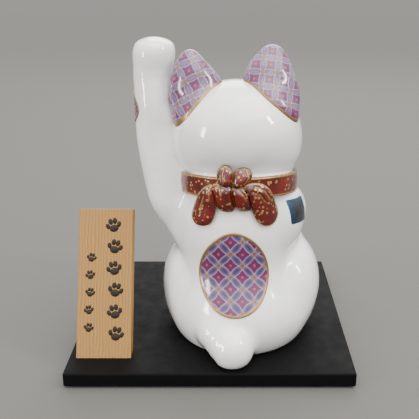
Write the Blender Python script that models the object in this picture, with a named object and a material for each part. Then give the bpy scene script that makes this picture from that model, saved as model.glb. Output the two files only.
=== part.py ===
"""Porcelain beckoning cat on its black display board, with a wooden name block beside it.

The cat is slip-cast: torso, head and raised arm are hollow castings, and the ears, feet, tail,
ribbon and bow are pressed pieces that are stuck on with slip before the firing.  The cat stands
loose on the board, and the block leans back in a slanted groove, so both lift off.

Each piece of clay is a smooth blend of egg-shaped and limb-shaped lumps.  A lump is a distance
field: how far a point lies outside its surface.  A mesh is wrapped round the lumps and then its
points are pulled onto the blended field.  Fields work in millimetres in the cat's own frame: the
cat faces -Y, +X is its left side, z = 0 is the foot it stands on.
"""
import math

import bmesh
import bpy
import numpy as np
from mathutils import Euler, Matrix, Vector

MM = 0.001

# ---- Driving dimensions, in millimetres ------------------------------------------------------
WALL = 4.5                      # thickness of the cast shells
GAP = 0.35                      # between pieces that stand on or in each other
SLIP_GAP = 0.8                  # between pieces that are stuck on with slip
BOARD_SIZE = (220.0, 200.0, 11.0)
PAD_RADIUS, PAD_HEIGHT = 7.0, 1.2
BLOCK_SIZE = (42.6, 11.0, 122.0)
BLOCK_AT = (83.1, 78.3)         # where the middle of its face meets the board's top
BLOCK_LEAN = 24.0               # degrees back from upright
GROOVE_DEPTH = 6.0
CAT_AT = (-19.5, 14.0)          # the cat's own axis on the board
VENT_RADIUS = 11.0              # hole under the torso, which lets air out in the kiln

BOARD_BOTTOM = PAD_HEIGHT + GAP
BOARD_TOP = BOARD_BOTTOM + BOARD_SIZE[2]
STAND_Z = BOARD_TOP + GAP

# The plane that parts head and torso: it falls towards the chin, under the ribbon
NECK_Z, NECK_FALL = 125.5, 0.16

BAND_HEIGHT, BAND_THICK, BAND_ROUND = 15.5, 3.0, 1.3
BOW_THICK = 5.5
BELL_RADIUS, BELL_HEIGHT = 9.0, 99.0
LABEL_THICK = 0.35

# Spacing of the points on castings, on small pieces and inside the shells
SHELL_VOXEL, SMALL_VOXEL, INSIDE_VOXEL = 8.4, 6.0, 11.0

# Lumps: centre, half axes, turn in degrees, and how far they blend with the lumps before them
NECK = ((-1.5, 0.0, 131.0), (43.0, 41.0, 26.0), (0, 0, 0), 0.0)
TORSO = (
    NECK,
    ((0.0, 4.0, 88.0), (48.0, 48.0, 56.0), (0, 0, 0), 8.0),
    ((-4.0, 6.0, 22.0), (60.0, 64.0, 47.0), (0, 0, 0), 24.0),
    ((0.0, -12.0, 88.0), (38.0, 38.0, 44.0), (0, 0, 0), 12.0),
    ((-34.0, 5.0, 98.0), (22.0, 27.0, 27.0), (0, 0, 0), 12.0),
    ((-44.0, -4.0, 36.0), (27.5, 46.0, 40.0), (0, 0, 0), 6.0),
    ((36.0, -6.0, 34.0), (25.5, 44.0, 38.0), (0, 0, 0), 6.0),
)
HEAD = (
    ((-1.3, 0.0, 166.0), (50.5, 47.0, 39.7), (0, 0, 0), 0.0),
    ((-20.0, -4.0, 152.0), (31.5, 36.0, 27.0), (0, 0, 0), 10.0),
    ((17.5, -4.0, 152.0), (31.5, 36.0, 27.0), (0, 0, 0), 10.0),
    ((-1.3, -38.0, 151.0), (19.0, 14.0, 11.5), (0, 0, 0), 12.0),
    (*NECK[:3], 9.0),
)
EARS = {
    "ear_left": (
        ((37.5, 2.0, 197.0), (14.5, 13.0, 31.5), (0, -8, 0), 0.0),
        ((27.5, 3.0, 201.0), (20.5, 14.0, 19.5), (0, 45, 0), 14.0)),
    "ear_right": (
        ((-36.0, 2.0, 199.5), (14.5, 13.0, 32.5), (0, 9, 0), 0.0),
        ((-25.0, 3.0, 202.0), (21.0, 14.0, 20.0), (0, -42, 0), 14.0)),
}
FEET = {
    "hind_foot_left": (((36.0, -50.0, 9.0), (15.0, 23.0, 12.0), (0, 0, 0), 0.0),),
    "hind_foot_right": (((-44.0, -50.0, 9.0), (15.0, 23.0, 12.0), (0, 0, 0), 0.0),),
}
PAW = ((63.5, -12.0, 218.5), (16.6, 19.0, 17.2), (0, 0, 0), 9.0)

# Limbs: points along them, and the radius there
RAISED_ARM = (((36.0, 2.0, 84.0), 16.5), ((52.0, -1.0, 107.0), 16.2), ((59.0, -3.0, 130.0), 15.3),
              ((63.3, -5.0, 160.0), 15.2), ((61.8, -7.0, 183.0), 13.6), ((64.0, -9.0, 206.0), 15.4))
LOWERED_ARM = (((-39.5, -2.0, 102.0), 16.5), ((-41.0, -20.0, 82.0), 16.0),
               ((-38.0, -38.0, 50.0), 14.0), ((-27.0, -49.0, 13.0), 12.5))
TAIL = (((13.0, 54.0, 19.0), 14.5), ((3.0, 69.5, 11.0), 16.5))

# Outlines of the bow's pieces and the label, seen from behind: across and up
BOW = {
    "bow_loop_left": (
        (11.7, 149.6), (8.2, 151.6), (4.5, 150.4), (3.2, 147.0), (3.5, 141.8), (4.4, 137.8),
        (8.6, 138.2), (12.3, 139.4), (13.7, 144.1), (13.0, 147.3)),
    "bow_loop_right": (
        (-1.8, 148.7), (-5.2, 149.8), (-9.0, 148.8), (-11.2, 145.7), (-11.5, 142.8),
        (-8.6, 139.8), (-3.9, 137.2), (0.4, 137.0), (2.2, 139.1), (1.9, 142.6), (0.3, 146.0)),
    "bow_lobe_left": (
        (14.8, 136.2), (12.6, 136.6), (9.2, 135.7), (4.9, 133.1), (3.6, 126.5), (2.4, 121.1),
        (3.0, 117.6), (6.7, 116.3), (10.7, 118.0), (13.2, 122.4), (14.6, 128.5), (15.2, 133.2)),
    "bow_lobe_right": (
        (2.1, 133.6), (-1.5, 134.6), (-5.6, 133.3), (-8.0, 129.5), (-9.8, 123.1), (-10.0, 119.2),
        (-7.6, 117.1), (-3.2, 117.5), (-0.4, 120.7), (1.2, 126.5)),
    "bow_tail_left": (
        (21.2, 136.4), (18.4, 136.8), (17.6, 131.8), (16.5, 125.1), (16.0, 118.3), (17.0, 111.5),
        (19.6, 106.7), (24.1, 105.0), (29.3, 106.0), (31.8, 109.5), (31.8, 114.3), (30.3, 121.1),
        (27.8, 127.8), (24.7, 133.2)),
    "bow_tail_right": (
        (-8.2, 135.7), (-12.2, 137.2), (-18.5, 136.8), (-23.6, 133.8), (-26.9, 128.5),
        (-29.1, 122.4), (-31.0, 115.6), (-30.1, 110.2), (-27.3, 106.0), (-22.9, 105.0),
        (-18.3, 107.1), (-14.7, 112.2), (-12.7, 118.3), (-11.6, 123.8), (-9.8, 129.6)),
}
LABEL_AIM = (0.78, -0.6258, 0.0)
LABEL = ((-2.0, 116.5), (-22.0, 114.0), (-22.5, 95.5), (-3.0, 98.5))

# Rings of a laid-on cushion and of the foil: share of the outline, share of the thickness
CUSHION = ((0.0, 0.0), (0.5, 0.0), (0.9, 0.0), (1.0, 0.34), (0.93, 0.68), (0.7, 0.92), (0.0, 1.04))
FOIL = ((0.0, 0.0), (0.5, 0.0), (1.0, 0.0), (1.0, 1.0), (0.5, 1.0), (0.0, 1.0))


# ---- Distance fields ---------------------------------------------------------------------------
def egg(points, centre, size, turn=(0, 0, 0)):
    """Distance outside an ellipsoid with these half axes, turned by Euler degrees."""
    spin = np.array(Euler([math.radians(a) for a in turn]).to_matrix())
    local = (points - np.array(centre)) @ spin
    size = np.array(size)
    near = np.linalg.norm(local / size, axis=1)
    steep = np.linalg.norm(local / size**2, axis=1)
    return near * (near - 1.0) / np.maximum(steep, 1e-9)


def rod(points, start, end, start_radius, end_radius):
    """Distance outside a rounded rod whose radius changes from one end to the other."""
    start, along = np.array(start), np.array(end) - np.array(start)
    share = np.clip((points - start) @ along / (along @ along), 0.0, 1.0)
    middle = start + share[:, None] * along
    radius = start_radius + (end_radius - start_radius) * share
    return np.linalg.norm(points - middle, axis=1) - radius


def join(first, second, blend):
    """Smooth union of two fields: the crease between them is filled over this width."""
    share = np.clip(0.5 + 0.5 * (second - first) / blend, 0.0, 1.0)
    return second + (first - second) * share - blend * share * (1.0 - share)


def carve(first, second, blend):
    """Smooth cut: the first field without the second."""
    return -join(-first, second, blend)


def lumps(points, group, shrink=0.0):
    found = None
    for centre, size, turn, blend in group:
        lump = egg(points, centre, [s - shrink for s in size], turn)
        found = lump if found is None else join(found, lump, blend)
    return found


def limb(points, stations, shrink=0.0):
    found = None
    for (start, start_radius), (end, end_radius) in zip(stations, stations[1:]):
        piece = rod(points, start, end, start_radius - shrink, end_radius - shrink)
        found = piece if found is None else join(found, piece, 1.5)
    return found


def flat_foot(points, field, height=0.0):
    """Cuts a field off level, with a soft edge, where it stands on the board."""
    return carve(field, points[:, 2] - height, 3.0)


def torso_field(points):
    found = join(lumps(points, TORSO), limb(points, LOWERED_ARM), 9.0)
    return flat_foot(points, found)


def torso_hollow(points):
    return flat_foot(points, lumps(points, TORSO, WALL), WALL)


def head_field(points):
    return lumps(points, HEAD)


def head_hollow(points):
    return lumps(points, (HEAD[0], HEAD[-1]), WALL)


def arm_field(points):
    return join(limb(points, RAISED_ARM), lumps(points, (PAW,)), 9.0)


def arm_hollow(points):
    return join(limb(points, RAISED_ARM, WALL), lumps(points, (PAW,), WALL), 9.0)


def body_field(points):
    """What the ribbon, the bow and the label are laid on."""
    return join(torso_field(points), head_field(points), 5.0)


def band_field(points, grow=0.0):
    """The ribbon round the neck: a flat strip bent round the body's own surface."""
    height = points[:, 2] - NECK_Z - NECK_FALL * points[:, 1]
    across = body_field(points) - (BAND_THICK + SLIP_GAP - BAND_ROUND)
    along = np.abs(height) - (BAND_HEIGHT / 2 - BAND_ROUND)
    outside = np.hypot(np.maximum(across, 0.0), np.maximum(along, 0.0))
    return outside + np.minimum(np.maximum(across, along), 0.0) - BAND_ROUND - grow


def under_bow(points):
    return join(body_field(points), band_field(points, SLIP_GAP), 4.0)


# ---- Mesh helpers --------------------------------------------------------------------------------
def clear_scene():
    for obj in list(bpy.data.objects):
        bpy.data.objects.remove(obj, do_unlink=True)


def new_object(name, bm, parent=None):
    mesh = bpy.data.meshes.new(name)
    bm.to_mesh(mesh)
    bm.free()
    obj = bpy.data.objects.new(name, mesh)
    bpy.context.scene.collection.objects.link(obj)
    obj.parent = parent
    return obj


def new_helper(name, bm, parent=None):
    """A cutter: not part of the model."""
    obj = new_object(name, bm, parent)
    obj.hide_render = True
    obj.display_type = "WIRE"
    return obj


def boolean(obj, cutter, operation="DIFFERENCE"):
    modifier = obj.modifiers.new(operation.title(), "BOOLEAN")
    modifier.operation = operation
    modifier.object = cutter
    modifier.solver = "EXACT"


def keep_largest(obj):
    """Applies the modifiers and drops the crumbs that a cut leaves beside the piece."""
    bm = bmesh.new()
    bm.from_object(obj, bpy.context.evaluated_depsgraph_get())
    islands, seen = [], set()
    for first in bm.verts:
        if first in seen:
            continue
        island, waiting = set(), [first]
        while waiting:
            vert = waiting.pop()
            if vert not in island:
                island.add(vert)
                waiting.extend(edge.other_vert(vert) for edge in vert.link_edges)
        seen |= island
        islands.append(island)
    islands.sort(key=len)
    for island in islands[:-1]:
        bmesh.ops.delete(bm, geom=list(island), context="VERTS")
    obj.modifiers.clear()
    bm.to_mesh(obj.data)
    bm.free()


def shade(obj, colour, angle=40.0):
    obj.data.materials.append(colour)
    obj.data.shade_smooth()
    obj.data.set_sharp_from_angle(angle=math.radians(angle))


def material(name, colour, roughness, metallic=0.0):
    made = bpy.data.materials.new(name)
    made.use_nodes = True
    shader = made.node_tree.nodes["Principled BSDF"]
    shader.inputs["Base Color"].default_value = (*colour, 1.0)
    shader.inputs["Roughness"].default_value = roughness
    shader.inputs["Metallic"].default_value = metallic
    return made


def add_egg(bm, centre, size, turn=(0, 0, 0)):
    """An ellipsoid in millimetres, added to a mesh in metres."""
    place = Matrix.Translation(Vector(centre) * MM)
    spin = Euler([math.radians(a) for a in turn]).to_matrix().to_4x4()
    scale = Matrix.Diagonal((*[s * MM for s in size], 1.0))
    bmesh.ops.create_uvsphere(
        bm, u_segments=24, v_segments=12, radius=1.0, matrix=place @ spin @ scale)


def add_limb(bm, stations, shrink=0.0):
    """Balls close together along a limb."""
    for (start, start_radius), (end, end_radius) in zip(stations, stations[1:]):
        for share in np.linspace(0.0, 1.0, 7):
            place = np.array(start) * (1 - share) + np.array(end) * share
            radius = start_radius * (1 - share) + end_radius * share - shrink
            add_egg(bm, place, (radius,) * 3)


def pull_onto(bm, field, level, steps):
    """Moves a mesh's points along the field's slope until they lie on its surface."""
    points = np.array([v.co for v in bm.verts]) / MM
    tiny = 0.02
    for _ in range(steps):
        slope = np.stack([(field(points + tiny * axis) - field(points - tiny * axis)) / (2 * tiny)
                          for axis in np.eye(3)], axis=1)
        steep = np.maximum((slope**2).sum(axis=1), 0.05)
        step = np.clip((field(points) - level) / steep, -4.0, 4.0)
        points = points - step[:, None] * slope
    for vert, place in zip(bm.verts, points):
        vert.co = place * MM


def wrapped(field, voxel, eggs=(), limbs=(), shrink=0.0, level=0.0):
    """One skin round overlapping lumps, pulled onto their blended field."""
    bm = bmesh.new()
    for centre, size, turn, _ in eggs:
        add_egg(bm, centre, [s - shrink for s in size], turn)
    for stations in limbs:
        add_limb(bm, stations, shrink)
    form = new_object("form", bm)
    remesh = form.modifiers.new("Remesh", "REMESH")
    remesh.mode = "VOXEL"
    remesh.voxel_size = voxel * MM
    skin = bmesh.new()
    skin.from_object(form, bpy.context.evaluated_depsgraph_get())
    bpy.data.objects.remove(form, do_unlink=True)
    for _ in range(3):
        pull_onto(skin, field, level, 6)
        bmesh.ops.smooth_vert(skin, verts=skin.verts, factor=0.5,
                              use_axis_x=True, use_axis_y=True, use_axis_z=True)
    pull_onto(skin, field, level, 8)
    return skin


def touch(starts, aims, field, level, steps=45):
    """Walks points along their directions until the field has this value."""
    points = np.array(starts, dtype=float)
    for _ in range(steps):
        points += np.array(aims) * ((field(points) - level) * 0.8)[:, None]
    return points


# ---- The castings and what is stuck to them -------------------------------------------------------
def neck_cutter(name, side, parent):
    """A big box whose face lies just off the parting plane, on the side that is kept."""
    bm = bmesh.new()
    reach = 400 * MM
    bmesh.ops.create_cube(bm, size=2 * reach)
    bmesh.ops.translate(bm, verts=bm.verts, vec=(0, 0, side * (reach + GAP * MM / 2)))
    tilt = Matrix.Rotation(math.atan(NECK_FALL), 4, "X")
    place = Matrix.Translation((0, 0, NECK_Z * MM))
    bmesh.ops.transform(bm, matrix=place @ tilt, verts=bm.verts)
    return new_helper(name, bm, parent)


def make_torso(cat, glaze):
    torso = new_object("torso_casting", wrapped(torso_field, SHELL_VOXEL, TORSO, (LOWERED_ARM,)),
                       cat)
    hollow = wrapped(torso_hollow, INSIDE_VOXEL, TORSO, (), WALL)
    vent = bmesh.new()
    bmesh.ops.create_cone(vent, cap_ends=True, segments=24, radius1=VENT_RADIUS * MM,
                          radius2=VENT_RADIUS * MM, depth=4 * WALL * MM)
    boolean(torso, neck_cutter("below_neck", -1, cat), "INTERSECT")
    boolean(torso, new_helper("torso_hollow", hollow, cat))
    boolean(torso, new_helper("vent", vent, cat))
    shade(torso, glaze)


def make_head(cat, glaze):
    head = new_object("head_casting", wrapped(head_field, SHELL_VOXEL, HEAD), cat)
    hollow = wrapped(head_hollow, INSIDE_VOXEL, (HEAD[0], HEAD[-1]), (), WALL)
    boolean(head, neck_cutter("above_neck", 1, cat), "INTERSECT")
    boolean(head, new_helper("head_hollow", hollow, cat))
    shade(head, glaze)


def make_stuck_on(cat, glaze):
    """Raised arm, ears, feet and tail: each cut to the surface it is stuck on."""
    torso = new_helper("torso_cut", wrapped(torso_field, SHELL_VOXEL, TORSO, (LOWERED_ARM,),
                                            level=SLIP_GAP), cat)
    head = new_helper("head_cut", wrapped(head_field, SHELL_VOXEL, HEAD, level=SLIP_GAP), cat)
    arm = new_object("raised_arm", wrapped(arm_field, SMALL_VOXEL, (PAW,), (RAISED_ARM,)), cat)
    hollow = wrapped(arm_hollow, 1.3 * SMALL_VOXEL, (PAW,), (RAISED_ARM,), WALL)
    strip = new_helper("band_cut", band_mesh(0.0, BAND_THICK + 2 * SLIP_GAP, SLIP_GAP), cat)
    ear = wrapped(lambda points: lumps(points, EARS["ear_left"]), SMALL_VOXEL, EARS["ear_left"],
                  level=SLIP_GAP)
    ear = new_helper("ear_cut", ear, cat)
    for cutter in (torso, head, ear, strip, new_helper("arm_hollow", hollow, cat)):
        boolean(arm, cutter)
    keep_largest(arm)
    shade(arm, glaze)

    def stick(name, field, eggs, limbs, under):
        piece = new_object(name, wrapped(field, SMALL_VOXEL, eggs, limbs), cat)
        boolean(piece, under)
        keep_largest(piece)
        shade(piece, glaze)

    for name, eggs in EARS.items():
        stick(name, lambda points, eggs=eggs: lumps(points, eggs), eggs, (), head)
    for name, eggs in FEET.items():
        stick(name, lambda points, eggs=eggs: flat_foot(points, lumps(points, eggs)), eggs, (),
              torso)
    stick("tail", lambda points: flat_foot(points, limb(points, TAIL)), (), (TAIL,), torso)


# ---- The ribbon, its bow and bell, and the label ---------------------------------------------------
def band_mesh(inner, outer, taller=0.0):
    """A strip carried round the neck between these two depths off the surface under it."""
    count, tall = 48, BAND_HEIGHT / 2 + taller
    profile = [(inner, -tall + 0.8), (inner, -tall / 2), (inner, 0.0), (inner, tall / 2),
               (inner, tall - 0.8), (outer * 0.6, tall), (outer, tall - BAND_ROUND),
               (outer * 1.06, 0.0), (outer, -tall + BAND_ROUND), (outer * 0.6, -tall)]
    turns = np.linspace(0.0, 2 * math.pi, count, endpoint=False)
    out = np.stack([np.cos(turns), np.sin(turns), NECK_FALL * np.sin(turns)], axis=1)
    out = np.repeat(out, len(profile), axis=0)
    depths, heights = np.tile(np.array(profile), (count, 1)).T
    starts = 95.0 * out
    starts[:, 2] += NECK_Z + heights
    bm = bmesh.new()
    verts = [bm.verts.new(place * MM) for place in touch(starts, -out, body_field, depths)]
    loops = [verts[i * len(profile):(i + 1) * len(profile)] for i in range(count)]
    for one, two in zip(loops, loops[1:] + loops[:1]):
        for k in range(len(profile)):
            n = (k + 1) % len(profile)
            bm.faces.new((one[k], two[k], two[n], one[n]))
    bmesh.ops.recalc_face_normals(bm, faces=bm.faces)
    return bm


def smooth_loop(corners, count):
    """Points spread evenly along a closed smooth curve through these corners."""
    corners = np.array(corners)
    curve = []
    for i in range(len(corners)):
        a, b, c, d = (corners[(i + k) % len(corners)] for k in (-1, 0, 1, 2))
        for t in np.linspace(0.0, 1.0, 12, endpoint=False):
            curve.append(0.5 * (2 * b + (c - a) * t + (2 * a - 5 * b + 4 * c - d) * t**2
                                + (3 * b - a - 3 * c + d) * t**3))
    curve = np.array(curve)
    steps = np.linalg.norm(np.roll(curve, -1, axis=0) - curve, axis=1)
    reach = np.concatenate([[0.0], np.cumsum(steps)])
    wanted = np.linspace(0.0, reach[-1], count, endpoint=False)
    closed = np.vstack([curve, curve[:1]])
    return np.stack([np.interp(wanted, reach, closed[:, k]) for k in range(2)], axis=1)


def laid_on(name, outline, field, thick, gap, rings, parent, aim=(0.0, -1.0, 0.0)):
    """A flat piece with this outline laid on the figure along a level direction.

    The outline is seen looking along that direction: across, and up.  Each ring is a smaller
    copy of it, from the middle of the face that touches, round the rim, to the face one sees.
    """
    middle = outline.mean(axis=0)
    aim = np.array(aim)
    across = np.array((-aim[1], aim[0], 0.0))
    bm = bmesh.new()
    loops = []
    for share, height in rings:
        flat = middle + (outline - middle) * share if share else middle[None]
        starts = flat[:, :1] * across + flat[:, 1:] * (0.0, 0.0, 1.0) - 110.0 * aim
        places = touch(starts, np.tile(aim, (len(flat), 1)), field, gap) - height * thick * aim
        loops.append([bm.verts.new(place * MM) for place in places])
    for lower, upper in zip(loops, loops[1:]):
        count = max(len(lower), len(upper))
        for i in range(count):
            j = (i + 1) % count
            corners = [lower[i % len(lower)], lower[j % len(lower)],
                       upper[j % len(upper)], upper[i % len(upper)]]
            bm.faces.new(list(dict.fromkeys(corners)))
    bmesh.ops.recalc_face_normals(bm, faces=bm.faces)
    if bm.calc_volume(signed=True) < 0:
        bmesh.ops.reverse_faces(bm, faces=bm.faces)
    return new_object(name, bm, parent)


def make_ribbon(cat, red):
    band = new_object("ribbon_band", band_mesh(SLIP_GAP, SLIP_GAP + BAND_THICK), cat)
    shade(band, red, 50.0)
    for name, corners in BOW.items():
        outline = smooth_loop(corners, 20)
        pad = laid_on(name, outline, under_bow, BOW_THICK, SLIP_GAP, CUSHION, cat)
        shade(pad, red, 60.0)


def make_label(cat, foil):
    corners = np.array(LABEL)
    outline = [corners[i] * (1 - t) + corners[(i + 1) % 4] * t
               for i in range(4) for t in np.linspace(0.0, 1.0, 5, endpoint=False)]
    label = laid_on("foil_label", np.array(outline), body_field, LABEL_THICK, 1.2 * GAP, FOIL,
                    cat, LABEL_AIM)
    shade(label, foil)


def make_bell(cat, gold):
    """A round bell on the chest under the ribbon, with its slot cut across the front."""
    start, aim = [(0.0, -110.0, BELL_HEIGHT)], [(0.0, 1.0, 0.0)]
    middle = Vector(touch(start, aim, body_field, BELL_RADIUS * 0.45)[0])
    bm = bmesh.new()
    bmesh.ops.create_uvsphere(bm, u_segments=24, v_segments=14, radius=BELL_RADIUS * MM)
    bmesh.ops.translate(bm, verts=bm.verts, vec=middle * MM)
    bell = new_object("bell", bm, cat)
    bm = bmesh.new()
    bmesh.ops.create_cube(bm, size=1.0)
    bmesh.ops.scale(bm, verts=bm.verts, vec=Vector((13.0, 8.0, 2.0)) * MM)
    low = middle + Vector((0.0, -BELL_RADIUS * 0.72, -BELL_RADIUS * 0.6))
    bmesh.ops.translate(bm, verts=bm.verts, vec=low * MM)
    boolean(bell, new_helper("bell_slot", bm, cat))
    boolean(bell, bpy.data.objects["torso_cut"])
    keep_largest(bell)
    shade(bell, gold)


# ---- The board and the name block ------------------------------------------------------------------
def box(size, middle, edge=0.0):
    bm = bmesh.new()
    bmesh.ops.create_cube(bm, size=1.0)
    bmesh.ops.scale(bm, verts=bm.verts, vec=Vector(size) * MM)
    if edge:
        bmesh.ops.bevel(bm, geom=bm.edges, offset=edge * MM, offset_type="OFFSET",
                        segments=2, profile=0.5, affect="EDGES")
    bmesh.ops.translate(bm, verts=bm.verts, vec=Vector(middle) * MM)
    return bm


def leaning_box(grow, lift, edge=0.0):
    """The name block, or the groove it stands in when grown: leant back about its face's foot."""
    width, thick, length = BLOCK_SIZE
    bm = box((width + 2 * grow, thick + 2 * grow, length + grow),
             (0.0, -thick / 2, length / 2 - GROOVE_DEPTH - grow / 2 + lift), edge)
    lean = Matrix.Rotation(math.radians(BLOCK_LEAN), 4, "X")
    place = Matrix.Translation(Vector((*BLOCK_AT, BOARD_TOP)) * MM)
    bmesh.ops.transform(bm, matrix=place @ lean, verts=bm.verts)
    return bm


def make_board(lacquer, felt, wood):
    width, depth, thick = BOARD_SIZE
    board = new_object("display_board", box(BOARD_SIZE, (0.0, 0.0, BOARD_BOTTOM + thick / 2), 1.2))
    boolean(board, new_helper("groove", leaning_box(GAP, 0.0)))
    shade(board, lacquer, 30.0)
    places = {"front_left": (1, -1), "front_right": (-1, -1),
              "back_left": (1, 1), "back_right": (-1, 1)}
    for name, (sx, sy) in places.items():
        bm = bmesh.new()
        bmesh.ops.create_cone(bm, cap_ends=True, segments=24, radius1=PAD_RADIUS * MM,
                              radius2=PAD_RADIUS * MM, depth=PAD_HEIGHT * MM)
        place = Vector((sx * (width / 2 - 15.0), sy * (depth / 2 - 15.0), PAD_HEIGHT / 2))
        bmesh.ops.translate(bm, verts=bm.verts, vec=place * MM)
        shade(new_object("pad_" + name, bm), felt)
    shade(new_object("name_block", leaning_box(0.0, 0.0, 0.6)), wood, 30.0)


clear_scene()
cat_origin = bpy.data.objects.new("cat_origin", None)
bpy.context.scene.collection.objects.link(cat_origin)
cat_origin.location = (CAT_AT[0] * MM, CAT_AT[1] * MM, STAND_Z * MM)

GLAZE = material("white_glaze", (0.9, 0.9, 0.88), 0.08)
RED = material("red_enamel", (0.33, 0.02, 0.012), 0.2)
make_torso(cat_origin, GLAZE)
make_head(cat_origin, GLAZE)
make_stuck_on(cat_origin, GLAZE)
make_ribbon(cat_origin, RED)
make_label(cat_origin, material("blue_foil", (0.03, 0.08, 0.16), 0.3, 0.6))
make_bell(cat_origin, material("gold_enamel", (0.6, 0.36, 0.12), 0.25, 0.9))
make_board(material("black_lacquer", (0.012, 0.012, 0.013), 0.35),
           material("black_felt", (0.02, 0.02, 0.02), 0.95),
           material("pale_wood", (0.68, 0.43, 0.17), 0.55))
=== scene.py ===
# %% [markdown]
# # A porcelain beckoning cat
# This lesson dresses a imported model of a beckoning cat: a glazed figurine that stands loose on a
# black lacquered board, with a small wooden name block leaning in a groove beside it.
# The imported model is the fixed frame.  It says where everything is and what can be lifted off.
# We load it first, and keep the size of its box, to see how far the dressed model goes past it.

# %% Load the frame
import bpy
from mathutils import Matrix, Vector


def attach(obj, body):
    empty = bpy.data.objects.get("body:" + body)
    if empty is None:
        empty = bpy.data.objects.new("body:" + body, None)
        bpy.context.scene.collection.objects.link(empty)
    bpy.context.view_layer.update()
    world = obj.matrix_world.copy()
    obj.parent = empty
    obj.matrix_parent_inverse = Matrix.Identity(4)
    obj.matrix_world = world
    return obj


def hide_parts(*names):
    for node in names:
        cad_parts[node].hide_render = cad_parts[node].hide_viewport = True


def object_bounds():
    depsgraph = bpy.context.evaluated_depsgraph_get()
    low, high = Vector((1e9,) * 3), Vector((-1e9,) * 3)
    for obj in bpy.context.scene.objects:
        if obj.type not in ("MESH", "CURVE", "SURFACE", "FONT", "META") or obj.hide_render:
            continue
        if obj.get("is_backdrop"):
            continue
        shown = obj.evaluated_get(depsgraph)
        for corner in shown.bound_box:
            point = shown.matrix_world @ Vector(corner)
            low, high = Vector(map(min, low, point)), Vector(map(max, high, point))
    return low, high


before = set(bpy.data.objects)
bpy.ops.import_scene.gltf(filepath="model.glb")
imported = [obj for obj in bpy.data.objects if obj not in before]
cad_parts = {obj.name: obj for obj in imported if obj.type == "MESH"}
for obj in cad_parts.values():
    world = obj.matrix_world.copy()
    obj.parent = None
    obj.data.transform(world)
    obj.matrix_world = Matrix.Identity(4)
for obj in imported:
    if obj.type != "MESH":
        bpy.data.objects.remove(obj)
frame_box = [list(corner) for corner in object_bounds()]

import math

import bmesh
import bpy
import numpy as np
from mathutils import Euler, Matrix, Vector

print("frame box:", frame_box)

# %% [markdown]
# ## Clay as distance fields
# The figurine is modelled clay: round lumps pressed together, with soft creases where they meet.
# One could sculpt it by hand, or join spheres with a Boolean, but the first can't be repeated and
# the second leaves hard seams.  We describe each lump by a distance field instead, a function that
# says how far a point lies outside the lump, and blend the fields.  The numbers are millimetres in
# the cat's own frame, where the cat faces -Y and +X is its left side.  They refine the packed
# model's own lumps, so ears, raised arm, ribbon, bow and tail differ somewhat from it.

# %% The lumps
CAT_AT, STAND_Z = (-19.5, 14.0), 12.9
WORLD_FROM_CAT = (Matrix.Scale(0.001, 4) @ Matrix.Translation((*CAT_AT, STAND_Z)))

NECK_Z, NECK_FALL = 125.5, 0.16
NECK = ((-1.5, 0.0, 131.0), (43.0, 41.0, 26.0), (0, 0, 0), 0.0)
TORSO = (
    NECK,
    ((0.0, 4.0, 88.0), (48.0, 48.0, 56.0), (0, 0, 0), 8.0),
    ((-4.0, 6.0, 22.0), (60.0, 64.0, 47.0), (0, 0, 0), 24.0),
    ((0.0, -12.0, 88.0), (38.0, 38.0, 44.0), (0, 0, 0), 12.0),
    ((-34.0, 5.0, 98.0), (22.0, 27.0, 27.0), (0, 0, 0), 12.0),
    ((-44.0, -4.0, 36.0), (27.5, 46.0, 40.0), (0, 0, 0), 6.0),
    ((36.0, -6.0, 34.0), (25.5, 44.0, 38.0), (0, 0, 0), 6.0),
)
HEAD = (
    ((-1.3, 0.0, 166.0), (50.5, 47.0, 39.7), (0, 0, 0), 0.0),
    ((-20.0, -4.0, 152.0), (31.5, 36.0, 27.0), (0, 0, 0), 10.0),
    ((17.5, -4.0, 152.0), (31.5, 36.0, 27.0), (0, 0, 0), 10.0),
    ((-1.3, -38.0, 151.0), (19.0, 14.0, 11.5), (0, 0, 0), 12.0),
    (*NECK[:3], 9.0),
)
EARS = {
    "ear_left": (
        ((34.3, 1.4, 199.4), (14.6, 12.8, 29.4), (0, 1, 0), 0.0),
        ((28.3, 2.5, 192.7), (21.6, 11.6, 20.0), (0, 45, 0), 14.0),
        ((29.7, 10.7, 181.4), (20.0, 16.7, 14.2), (0, 47, 0), 10.0)),
    "ear_right": (
        ((-26.6, -4.9, 201.1), (17.5, 12.1, 30.8), (0, -5, 0), 0.0),
        ((-28.4, 3.0, 197.4), (23.3, 10.9, 17.1), (0, -43, 0), 14.0),
        ((-30.2, 11.7, 186.7), (21.6, 16.1, 13.4), (0, -43, 0), 10.0)),
}
FEET = (((36.0, -50.0, 9.0), (15.0, 23.0, 12.0), (0, 0, 0), 0.0),
        ((-44.0, -50.0, 9.0), (15.0, 23.0, 12.0), (0, 0, 0), 0.0))
PAW = (
    ((63.8, -12.0, 222.5), (16.6, 19.0, 13.5), (0, 0, 0), 9.0),
    ((62.8, -12.0, 229.9), (13.5, 16.0, 4.4), (0, 0, 0), 7.0),
)
RAISED_ARM = (((36.0, 2.0, 84.0), 16.5), ((52.8, -1.0, 107.0), 15.6), ((59.4, -3.0, 130.0), 15.4),
              ((64.2, -5.0, 160.0), 14.9), ((62.8, -7.0, 183.0), 16.6), ((65.0, -9.0, 206.0), 15.2))
LOWERED_ARM = (((-39.5, -2.0, 102.0), 16.5), ((-41.0, -20.0, 82.0), 16.0),
               ((-38.0, -38.0, 50.0), 14.0), ((-27.0, -49.0, 13.0), 12.5))
TAIL = (((16.0, 60.0, 19.0), 13.0), ((2.5, 69.5, 11.5), 16.5))
WEB = (((47.5, 3.0, 112.0), 14.0), ((48.5, 2.0, 150.0), 10.0), ((50.0, 0.0, 172.0), 6.0))
SEAT, SEAT_HALF = ((-2.2, 0.0, 126.0), (44.6, 46.5, 70.0)), 8.3
print("lumps in torso and head:", len(TORSO), len(HEAD))


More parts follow.
